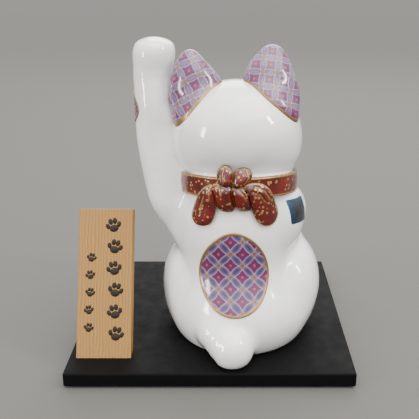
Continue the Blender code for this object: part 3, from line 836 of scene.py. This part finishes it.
for name, corners in BOW.items():
    outline = smooth_loop(corners, 96)
    middle = outline.mean(axis=0)
    outline = middle + (outline - middle) * 1.02

    def dome(share, flat, lines=CREASES[name]):
        crease = np.exp(-(off_lines(flat, lines) / 0.9) ** 2)
        rim = np.exp(-((share - 0.93) / 0.035) ** 2)
        round_top = np.sqrt(np.clip(1.0 - share**2.6, 0.0, 1.0))
        return BOW_THICK * round_top - 0.9 * crease * round_top + 0.35 * rim

    bm, share, flat = laid_on(outline, under_bow, dome, rings=44, sink=0.6, full=0.8)
    crease = np.exp(-(off_lines(flat, CREASES[name]) / 0.42) ** 2)
    rim = np.exp(-((share - 0.945) / 0.028) ** 2)
    # painted shade near each cushion's rim, where it turns down to the clay
    marks = {"gold": np.clip(np.maximum(0.8 * crease, 0.85 * rim) * 1.4 - 0.25, 0, 1),
             "painted_shade": np.clip((share - 0.78) / 0.16, 0, 1) * 0.85}
    make_piece(name + "_cushion", bm, RED_RIBBON, (name,), marks)

# %% [markdown]
# ## The bell
# A round bell hangs on the chest.  It starts as a sphere.  Points near its equator are pushed out
# for the belt, and points in the mouth are pushed in, which opens the slot and its two round ends.


# %% Bell
def gold_material():
    made, tree, shader = new_material("gold_enamel_paint", 0.28, 0.85, 0.4)
    where = placed(tree, 1000)
    tone = blend_colours(tree, noise(tree, where, 0.35), paint(168, 118, 56), paint(216, 172, 104))
    # painted shade: the pushed-in slot of the bell is darkened to near black
    tone = blend_colours(tree, mark(tree, "painted_shade"), tone, paint(40, 26, 14))
    connect(tree, tone, shader.inputs["Base Color"])
    connect(tree, step_up(tree, noise(tree, where, 0.9), -0.7, 3.0), shader.inputs["Roughness"])
    add_bump(tree, shader, noise(tree, where, 0.7), 0.15, 0.0003)
    return made


GOLD = gold_material()
BELL_RADIUS, BELL_HEIGHT = 8.8, 99.0
hang = touch([(0.0, -110.0, BELL_HEIGHT)], [(0.0, 1.0, 0.0)], body_field, 9.0 * 0.45)[0]
bm = bmesh.new()
bmesh.ops.create_uvsphere(bm, u_segments=128, v_segments=96, radius=BELL_RADIUS)
ball = points_of(bm)
belt = np.exp(-(ball[:, 2] / 0.75) ** 2)
slot_height = np.abs(ball[:, 2] + 4.6)
facing = ball[:, 1] < 0
slot = np.clip((0.9 - slot_height) / 0.3, 0, 1) * (np.abs(ball[:, 0]) < 5.2) * facing
ends = np.hypot(np.abs(ball[:, 0]) - 5.4, ball[:, 2] + 4.6)
slot = np.maximum(slot, np.clip((1.5 - ends) / 0.4, 0, 1) * facing)
move_to(bm, ball * (1.0 + 0.05 * belt - 0.3 * slot)[:, None] + hang)
# the slot mark darkens the bell's mouth as painted shade
make_piece("round_bell", bm, GOLD, ("bell",), {"painted_shade": slot})

# %% [markdown]
# ## The foil label
# A dealer's foil label sits on the cat's right shoulder.  It is thin foil with a dark frame and a
# silvery field, and it carries no words here.  Its rounded corners come from a superellipse, which
# is carried to the label's four real corners.


# %% Label
def foil_material():
    made, tree, shader = new_material("blue_foil_label", 0.3, 0.65, 0.3)
    where = placed(tree, 1000)
    frame_mask = step_up(tree, mark(tree, "frame"), 0.70, 0.74)
    field = blend_colours(tree, noise(tree, where, 0.25, 4.0), paint(26, 34, 44),
                          paint(64, 70, 76))
    edge = blend_colours(tree, noise(tree, where, 0.3), paint(18, 44, 72), paint(36, 74, 108))
    connect(tree, blend_colours(tree, frame_mask, field, edge), shader.inputs["Base Color"])
    add_bump(tree, shader, noise(tree, where, 0.35, 4.0), 0.3, 0.0004)
    return made


LABEL_AIM = (0.78, -0.6258, 0.0)
LABEL = np.array(((-2.6, 116.5), (-25.0, 114.6), (-24.8, 95.2), (-2.4, 98.0)))
turn = np.linspace(0.0, 2 * math.pi, 96, endpoint=False)
squared = np.stack([np.sign(np.cos(turn)) * np.abs(np.cos(turn)) ** 0.12,
                    np.sign(np.sin(turn)) * np.abs(np.sin(turn)) ** 0.12], axis=1)
one, two = (squared[:, :1] + 1) / 2, (squared[:, 1:] + 1) / 2
outline = ((LABEL[0] * (1 - one) + LABEL[1] * one) * two
           + (LABEL[3] * (1 - one) + LABEL[2] * one) * (1 - two))
bm, share, flat = laid_on(outline, body_field, lambda share, flat: 0.5 - 0.12 * share**8,
                          LABEL_AIM, rings=32, sink=0.1, full=1.0)
make_piece("foil_label_sheet", bm, foil_material(), ("foil_label",), {"frame": share})

# %% [markdown]
# ## Painted face, ears and toes
# The front of the cat is painted by hand after the glaze.  A brush stroke is thick in the middle
# and thin at both ends, like a stretched sphere, so a sphere is what it is made from: its height
# becomes the way along the stroke.  Eyes, nose and inner ears are small laid-on patches.


# %% Strokes and patches
def stroke(route, width, field, aim=(0.0, 1.0, 0.0), lift=0.35, rings=28):
    """A brush stroke along a route of across-and-up points, laid along a level aim."""
    bm = bmesh.new()
    bmesh.ops.create_uvsphere(bm, u_segments=10, v_segments=rings, radius=1.0)
    ball = points_of(bm)
    route, aim = np.array(route, dtype=float), np.array(aim)
    knots = np.linspace(0.0, 1.0, len(route))
    t = (ball[:, 2] + 1) / 2
    curve = [np.polynomial.Polynomial.fit(knots, route[:, k], len(route) - 1) for k in range(2)]
    centre = np.stack([curve[0](t), curve[1](t)], axis=1)
    slope = np.stack([curve[0].deriv()(t), curve[1].deriv()(t)], axis=1)
    slope /= np.linalg.norm(slope, axis=1)[:, None]
    sideways = np.stack([slope[:, 1], -slope[:, 0]], axis=1)
    body = np.sqrt(np.hypot(ball[:, 0], ball[:, 1]))
    angle = np.arctan2(ball[:, 1], ball[:, 0])
    flat = centre + sideways * (width / 2 * body * np.cos(angle))[:, None]
    across = np.array((-aim[1], aim[0], 0.0))
    starts = flat[:, :1] * across + flat[:, 1:] * (0.0, 0.0, 1.0) - 110.0 * aim
    places = touch(starts, np.tile(aim, (len(flat), 1)), field, 0.0)
    move_to(bm, places - (lift * body * np.sin(angle))[:, None] * aim)
    bmesh.ops.recalc_face_normals(bm, faces=bm.faces)
    return bm


def brushed_material(name, first, second, roughness=0.25, coat=0.8):
    """Brushed enamel whose colour wanders between two paints."""
    made, tree, shader = new_material(name, roughness, 0.0, coat)
    where = placed(tree, 1000)
    colour = blend_colours(tree, noise(tree, where, 0.8, 3.0), paint(*first), paint(*second))
    connect(tree, colour, shader.inputs["Base Color"])
    add_bump(tree, shader, noise(tree, where, 1.5), 0.15, 0.0002)
    return made


BLACK = brushed_material("black_brush", (14, 12, 12), (40, 34, 32))
ROSE = brushed_material("rose_brush", (196, 92, 84), (222, 130, 118))
AMBER = brushed_material("amber_brush", (206, 150, 52), (232, 186, 84))


def merged(meshes):
    """Several small meshes as one."""
    whole = bmesh.new()
    for bm in meshes:
        part = bpy.data.meshes.new("part")
        bm.to_mesh(part)
        bm.free()
        whole.from_mesh(part)
        bpy.data.meshes.remove(part)
    return whole


def mirrored(route, middle=1.3):
    """The same route on the other side of the face, seen from the front."""
    return [(2 * middle - across, up) for across, up in route]


FRONT = (0.0, 1.0, 0.0)
FACE = 1.3                       # the middle of the face, as seen from the front
EYE = (20.0, 166.0)
eye_parts, pupil_parts = [], []
for side in (-1, 1):
    spot = (FACE + side * EYE[0], EYE[1])
    white = egg_outline(spot, 7.6, 6.6, 0.0, 64)
    dot = egg_outline((spot[0] - side * 0.8, spot[1]), 3.1, 5.6, 0.0, 48)
    thin = lambda share, flat: 0.5 * np.sqrt(np.clip(1 - share**4, 0, 1)) + 0.1
    thick = lambda share, flat: 0.45 * np.sqrt(np.clip(1 - share**4, 0, 1)) + 0.55
    eye_parts.append(laid_on(white, head_field, thin, FRONT, 16)[0])
    pupil_parts.append(laid_on(dot, head_field, thick, FRONT, 16)[0])
make_piece("painted_eyes", merged(eye_parts), AMBER)
make_piece("painted_pupils", merged(pupil_parts), BLACK)

nose = smooth_loop([(FACE - 4.2, 158.4), (FACE, 159.2), (FACE + 4.2, 158.4), (FACE + 2.2, 155.6),
                    (FACE, 154.2), (FACE - 2.2, 155.6)], 64)
bm = laid_on(nose, head_field, lambda share, flat: 1.1 * np.sqrt(np.clip(1 - share**3, 0, 1)) + 0.1,
             FRONT, 18)[0]
make_piece("painted_nose", bm, ROSE)

right_side = {
    "lid": ([(FACE + 12.0, 167.5), (FACE + 19.5, 173.6), (FACE + 28.0, 169.5)], 1.5),
    "under_lid": ([(FACE + 13.0, 163.5), (FACE + 20.0, 159.4), (FACE + 27.0, 163.0)], 0.8),
    "brow": ([(FACE + 14.0, 181.0), (FACE + 19.0, 183.5), (FACE + 24.0, 181.5)], 1.6),
    "mouth": ([(FACE, 151.6), (FACE + 4.5, 146.8), (FACE + 10.5, 149.6)], 0.9),
    "whisker_high": ([(FACE + 19.0, 155.5), (FACE + 29.0, 157.5), (FACE + 39.0, 160.5)], 0.7),
    "whisker_middle": ([(FACE + 19.5, 152.0), (FACE + 30.0, 152.0), (FACE + 40.0, 153.0)], 0.7),
    "whisker_low": ([(FACE + 19.0, 148.5), (FACE + 29.0, 146.5), (FACE + 37.5, 145.0)], 0.7),
}
lines = []
for route, width in right_side.values():
    lines.append(stroke(route, width, head_field))
    lines.append(stroke(mirrored(route, FACE), width, head_field))
lines.append(stroke([(FACE, 154.5), (FACE, 153.0), (FACE, 151.2)], 0.9, head_field))
make_piece("painted_face_lines", merged(lines), BLACK)

toes = []
for centre in (-36.0, 44.0):
    for offset in (-5.0, 5.0):
        x = centre + offset
        toes.append(stroke([(x, 4.5), (x * 1.004, 9.0), (x * 1.01, 14.0)], 1.0, figure_field))
for offset in (-5.2, 5.2):
    x = -63.5 + offset
    toes.append(stroke([(x, 213.0), (x, 219.5), (x, 226.0)], 1.0, arm_field))
for offset in (-4.0, 4.0):
    x = 27.0 + offset
    toes.append(stroke([(x, 4.0), (x, 8.0), (x, 12.5)], 1.0, figure_field))
make_piece("painted_toe_lines", merged(toes), BLACK)

INNER_EARS = {
    "ear_left": ((-24.0, 186.0), (-38.0, 177.0), (-46.5, 186.0), (-45.0, 202.0), (-40.0, 217.0),
                 (-31.0, 212.0), (-21.5, 201.0)),
    "ear_right": ((21.5, 188.0), (36.0, 179.0), (44.5, 188.0), (43.0, 205.0), (38.5, 219.5),
                  (29.5, 214.0), (19.5, 203.0)),
}
for name, corners in INNER_EARS.items():
    field = lambda points, eggs=EARS[name]: lumps(points, eggs)
    dish = lambda share, flat: 0.5 * np.sqrt(np.clip(1 - share**6, 0, 1)) + 0.1
    bm = laid_on(smooth_loop(corners, 72), field, dish, FRONT, 20)[0]
    make_piece("painted_inner_" + name, bm, ROSE)

# %% [markdown]
# ## Board, felt pads and name block
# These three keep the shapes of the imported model, so only their finish is new.  Lacquer on wood is
# nearly black with a satin shine and the faintest waviness.  The block is pale straight-grained
# softwood whose rings run up its face.

# %% Finishes of the carried-over pieces
GRAIN, start, end = new_group(
    "straight_grain", [("Vector", VECTOR)], [("Rings", FLOAT), ("Pores", FLOAT)])
bend = noise(GRAIN, start.outputs["Vector"], 0.35, 2.0)
split = GRAIN.nodes.new("ShaderNodeSeparateXYZ")
connect(GRAIN, start.outputs["Vector"], split.inputs["Vector"])
across = calc(GRAIN, "ADD", calc(GRAIN, "MULTIPLY", split.outputs["X"], 1.35),
              calc(GRAIN, "MULTIPLY", bend, 1.6))
saw = calc(GRAIN, "FRACT", across)
connect(GRAIN, calc(GRAIN, "POWER", saw, 3.0), end.inputs["Rings"])
pores = noise(GRAIN, start.outputs["Vector"], 6.0, 3.0)
connect(GRAIN, step_up(GRAIN, pores, 0.45, 0.8), end.inputs["Pores"])


def wood_material():
    made, tree, shader = new_material("pale_softwood", 0.6)
    where = placed(tree, (300.0, 300.0, 14.0), (0, 0, 0), (0, 0, 0))
    grain = use_group(tree, GRAIN, Vector=where)
    wood = blend_colours(tree, grain.outputs["Rings"], paint(160, 120, 58), paint(116, 76, 30))
    wood = blend_colours(tree, calc(tree, "MULTIPLY", grain.outputs["Pores"], 0.35), wood,
                         paint(98, 66, 28))
    wood = blend_colours(tree, step_up(tree, noise(tree, placed(tree, 1000), 0.03), 0.3, 0.8), wood,
                         paint(148, 106, 50))
    connect(tree, wood, shader.inputs["Base Color"])
    height = calc(tree, "ADD", grain.outputs["Rings"], grain.outputs["Pores"])
    add_bump(tree, shader, height, 0.25, 0.0002)
    return made


def lacquer_material():
    made, tree, shader = new_material("black_lacquer_satin", 0.55)
    where = placed(tree, 1000)
    shader.inputs["Specular IOR Level"].default_value = 0.05
    tone = blend_colours(tree, noise(tree, where, 0.05), paint(10, 10, 11), paint(15, 15, 15))
    dust = step_up(tree, noise(tree, where, 2.2, 2.0), 0.70, 0.80)
    connect(tree, blend_colours(tree, calc(tree, "MULTIPLY", dust, 0.06), tone, paint(96, 92, 88)),
            shader.inputs["Base Color"])
    connect(tree, step_up(tree, noise(tree, where, 0.12), -1.0, 1.7), shader.inputs["Roughness"])
    add_bump(tree, shader, noise(tree, where, 0.06), 0.06, 0.0004)
    return made


def felt_material():
    made, tree, shader = new_material("black_felt_nap", 0.95)
    where = placed(tree, 1000)
    nap = noise(tree, where, 3.0, 5.0, 0.7)
    connect(tree, blend_colours(tree, nap, paint(16, 16, 17), paint(52, 51, 50)),
            shader.inputs["Base Color"])
    shader.inputs["Sheen Weight"].default_value = 0.4
    add_bump(tree, shader, nap, 0.6, 0.0004)
    return made


def refinish(node, finish):
    """Gives a carried-over piece a new material in all its slots."""
    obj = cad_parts[node]
    obj.data.materials.clear()
    obj.data.materials.append(finish)
    print("refinished", node)


FELT = felt_material()
refinish("display_board", lacquer_material())
refinish("name_block", wood_material())
for corner in ("front_left", "front_right", "back_left", "back_right"):
    refinish("pad_" + corner, FELT)

# %% [markdown]
# ## Paw prints on the block
# The face of the block is inked by brush.  Ours carries two columns of paw prints: a tall one and
# a smaller one beside it.  Each print is a pad with four toes, cut from `create_circle` discs that
# are extruded by a hair so that they lie on the wood like dried ink.

# %% Inked prints
BLOCK_AT, BLOCK_LEAN, BOARD_TOP = (83.1, 78.3), 24.0, 12.55
ON_BLOCK = (Matrix.Scale(0.001, 4) @ Matrix.Translation((*BLOCK_AT, BOARD_TOP))
            @ Matrix.Rotation(math.radians(BLOCK_LEAN), 4, "X"))
INK = brushed_material("brushed_ink", (16, 12, 10), (44, 34, 26), 0.9, 0.0)
INK_THICK = 0.15
TOES = ((-0.62, 0.34, 0.22, 0.32), (-0.24, 0.78, 0.24, 0.34), (0.24, 0.78, 0.24, 0.34),
        (0.62, 0.34, 0.22, 0.32))


def disc(bm, centre, half_width, half_height, turn):
    """A thin oval on the block's face, at across and up in millimetres."""
    place = (Matrix.Translation((centre[0], 0.0, centre[1])) @ Matrix.Rotation(turn, 4, "Y")
             @ Matrix.Diagonal((half_width, 1.0, half_height, 1.0))
             @ Matrix.Rotation(math.radians(90), 4, "X"))
    made = bmesh.ops.create_circle(bm, cap_ends=True, segments=28, radius=1.0, matrix=place)
    faces = list({face for vert in made["verts"] for face in vert.link_faces})
    raised = bmesh.ops.extrude_face_region(bm, geom=faces)
    verts = [item for item in raised["geom"] if isinstance(item, bmesh.types.BMVert)]
    bmesh.ops.translate(bm, verts=verts, vec=(0.0, INK_THICK, 0.0))


def paw_print(bm, across, up, size, turn):
    tilt = math.radians(turn)
    disc(bm, (across, up), 0.50 * size, 0.40 * size, tilt)
    for x, z, half_width, half_height in TOES:
        spot = (across + size * (x * math.cos(tilt) + z * math.sin(tilt)),
                up + size * (z * math.cos(tilt) - x * math.sin(tilt)))
        disc(bm, spot, half_width * size, half_height * size, tilt + x * 0.5)


bm = bmesh.new()
for i in range(6):
    paw_print(bm, -6.5 - 0.5 * i, 100.5 - 16.9 * i, 7.2, 12 * (-1) ** i)
for i in range(5):
    paw_print(bm, 11.0 + 0.3 * i, 76.0 - 13.6 * i, 4.6, -10 * (-1) ** i)
bmesh.ops.recalc_face_normals(bm, faces=bm.faces)
make_piece("inked_paw_prints", bm, INK, (), None, "block", ON_BLOCK)

# %% [markdown]
# ## Studio
# A plain pale floor that runs to the horizon, broad soft lights, and a camera at the height of a
# visitor who bends down to the shelf.  Broad lights give the glaze long soft reflections, and two
# small ones give it the bright spots that show that it is glass.

# %% Floor, lights and camera
FLOOR_RADIUS = 30.0
bm = bmesh.new()
bmesh.ops.create_circle(bm, cap_ends=True, segments=96, radius=FLOOR_RADIUS)
mesh = bpy.data.meshes.new("studio_floor")
bm.to_mesh(mesh)
bm.free()
floor = bpy.data.objects.new("studio_floor", mesh)
bpy.context.scene.collection.objects.link(floor)
made, tree, shader = new_material("pale_paper", 0.8)
shader.inputs["Base Color"].default_value = paint(84, 83, 79)
mesh.materials.append(made)
floor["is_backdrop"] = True


def softbox(name, place, aim, size, power, colour=(1.0, 0.98, 0.95)):
    light = bpy.data.lights.new(name, "AREA")
    light.shape = "RECTANGLE"
    light.size, light.size_y = size
    light.energy = power
    light.color = colour
    lamp = bpy.data.objects.new(name, light)
    bpy.context.scene.collection.objects.link(lamp)
    lamp.location = place
    lamp.rotation_euler = (Vector(aim) - Vector(place)).to_track_quat("-Z", "Y").to_euler()


TARGET = (-0.02, 0.0, 0.12)
softbox("ceiling", (-0.6, 0.5, 2.1), TARGET, (2.4, 2.0), 42.0)
softbox("window_left", (1.05, 0.68, 0.37), TARGET, (0.15, 0.5), 7.5)
softbox("window_right", (-1.0, 0.43, 0.87), TARGET, (0.12, 0.35), 6.0)
softbox("face_fill", (-0.2, -1.3, 1.1), TARGET, (1.2, 0.8), 13.0)

world = bpy.data.worlds.new("soft_room")
world.use_nodes = True
sky = world.node_tree
compass = sky.nodes.new("ShaderNodeTexCoord")
parts = sky.nodes.new("ShaderNodeSeparateXYZ")
connect(sky, compass.outputs["Generated"], parts.inputs["Vector"])
overhead = step_up(sky, parts.outputs["Z"], 0.0, 1.0)
dome_light = sky.nodes["Background"]
connect(sky, blend_colours(sky, overhead, (0.60, 0.60, 0.60, 1.0), (3.3, 3.27, 3.22, 1.0)),
        dome_light.inputs["Color"])
bpy.context.scene.world = world

camera_data = bpy.data.cameras.new("camera")
camera_data.sensor_width = 36.0
camera_data.lens = 55.85
camera_data.shift_x, camera_data.shift_y = -0.0513, -0.0597
camera = bpy.data.objects.new("camera", camera_data)
bpy.context.scene.collection.objects.link(camera)
camera.location = (-0.016, 0.5165, 0.29715)
camera.rotation_euler = (math.radians(90.0 - VIEW_TILT), 0.0, math.radians(180.0))
bpy.context.scene.camera = camera

# %% Sizes and finish
dressed_box = [list(corner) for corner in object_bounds()]
growth = [round(1000 * (dressed_box[k][i] - frame_box[k][i]), 2) for k in (0, 1) for i in range(3)]
print("growth in mm, lowest then highest corner:", growth)
